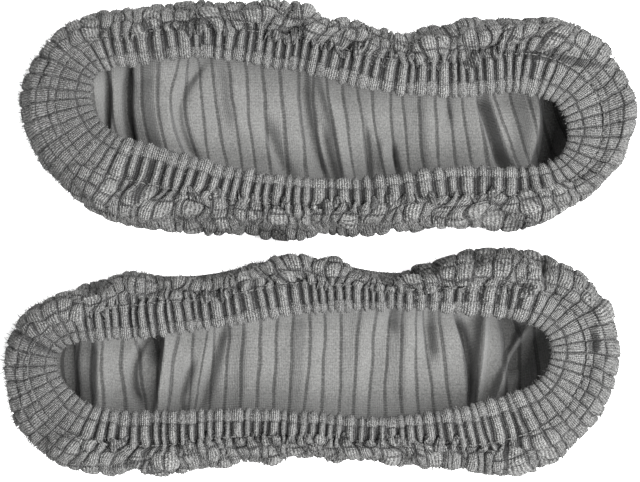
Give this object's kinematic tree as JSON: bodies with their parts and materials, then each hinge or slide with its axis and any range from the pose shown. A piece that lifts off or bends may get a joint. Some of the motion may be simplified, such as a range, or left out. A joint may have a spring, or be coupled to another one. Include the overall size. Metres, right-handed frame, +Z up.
{
  "type": "overshoe gaiters",
  "caption": "Pair of low overshoe gaiters: slip-on shoe covers of crinkled knit with a soft flat sole and a gathered elastic opening, lying side by side.",
  "frame": {"origin": "on the floor under the middle of the pair's bounding box", "axes": "+X from the heels to the toes, +Y towards the left cover, +Z up out of the openings"},
  "size_m": [0.3088, 0.2318, 0.0482],
  "materials": {
    "outer_knit": "crinkled jacquard knit in mid grey, matte, with raised rectangular puffs and fine ribs",
    "inner_knit": "smooth reverse of the knit in mid grey, matte, with thin dark stripes across the foot",
    "elastic": "flat braided elastic, dark grey, satin",
    "thread": "spun polyester sewing thread, grey, matte"
  },
  "bodies": {
    "left_cover": {"left_sole_panel": "inner_knit", "left_heel_wall": "outer_knit", "left_outboard_wall": "outer_knit", "left_toe_wall": "outer_knit", "left_inboard_wall": "outer_knit", "left_inboard_shoulder": "outer_knit", "left_inboard_hem_casing": "outer_knit", "left_inboard_elastic": "elastic", "left_inboard_hem_stitching": "thread", "left_elastic_lap": "elastic"},
    "left_outboard_rim": {"left_outboard_shoulder": "outer_knit", "left_outboard_hem_casing": "outer_knit", "left_outboard_elastic": "elastic", "left_outboard_hem_stitching": "thread"},
    "right_cover": {"right_sole_panel": "inner_knit", "right_heel_wall": "outer_knit", "right_outboard_wall": "outer_knit", "right_toe_wall": "outer_knit", "right_inboard_wall": "outer_knit", "right_inboard_shoulder": "outer_knit", "right_inboard_hem_casing": "outer_knit", "right_inboard_elastic": "elastic", "right_inboard_hem_stitching": "thread", "right_elastic_lap": "elastic"},
    "right_outboard_rim": {"right_outboard_shoulder": "outer_knit", "right_outboard_hem_casing": "outer_knit", "right_outboard_elastic": "elastic", "right_outboard_hem_stitching": "thread"}
  },
  "joints": [
    {"name": "left_rim_stretch", "type": "slide", "parent": "left_cover", "child": "left_outboard_rim", "axis": [0, 1, 0], "range_m": [0, 0.03], "stiffness_N_per_m": 200},
    {"name": "right_cover_lift", "type": "slide", "parent": "left_cover", "child": "right_cover", "axis": [0, 0, 1], "range_m": [0, 0.12]},
    {"name": "right_rim_stretch", "type": "slide", "parent": "right_cover", "child": "right_outboard_rim", "axis": [0, -1, 0], "range_m": [0, 0.03], "stiffness_N_per_m": 200}
  ]
}
